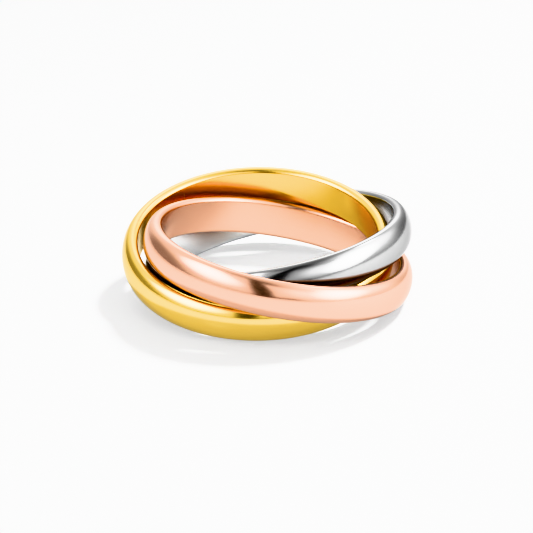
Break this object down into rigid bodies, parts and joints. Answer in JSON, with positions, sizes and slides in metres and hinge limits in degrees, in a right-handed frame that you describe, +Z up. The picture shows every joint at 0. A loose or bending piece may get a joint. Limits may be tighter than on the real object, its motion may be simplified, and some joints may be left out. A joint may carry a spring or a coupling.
{
  "type": "rolling ring of three interlocked bands",
  "caption": "Finger ring of equal polished bands in yellow, rose and white gold, domed outside and flat inside, linked through each other and lying on a surface.",
  "frame": {"origin": "on the surface that the ring lies on, under the middle of its box", "axes": "+Z up, +Y from the front of the lying ring to its back and the longest extent, +X to its right seen from the front"},
  "size_m": [0.023, 0.0238, 0.007],
  "materials": {
    "yellow_gold": "mirror-polished yellow gold",
    "rose_gold": "mirror-polished rose gold",
    "white_gold": "mirror-polished white gold"
  },
  "bodies": {
    "yellow": {"yellow_band": "yellow_gold"},
    "rose": {"rose_band": "rose_gold"},
    "white": {"white_band": "white_gold"}
  },
  "joints": [
    {"name": "rose_turn", "type": "hinge", "parent": "yellow", "child": "rose", "pos_m": [0.00084, -0.00106, 0.00342], "axis": [0.1847, 0.0618, 0.9809], "continuous": true},
    {"name": "white_turn", "type": "hinge", "parent": "yellow", "child": "white", "pos_m": [0.00086, 0.00107, 0.00342], "axis": [-0.1747, 0.0852, 0.9809], "continuous": true}
  ]
}
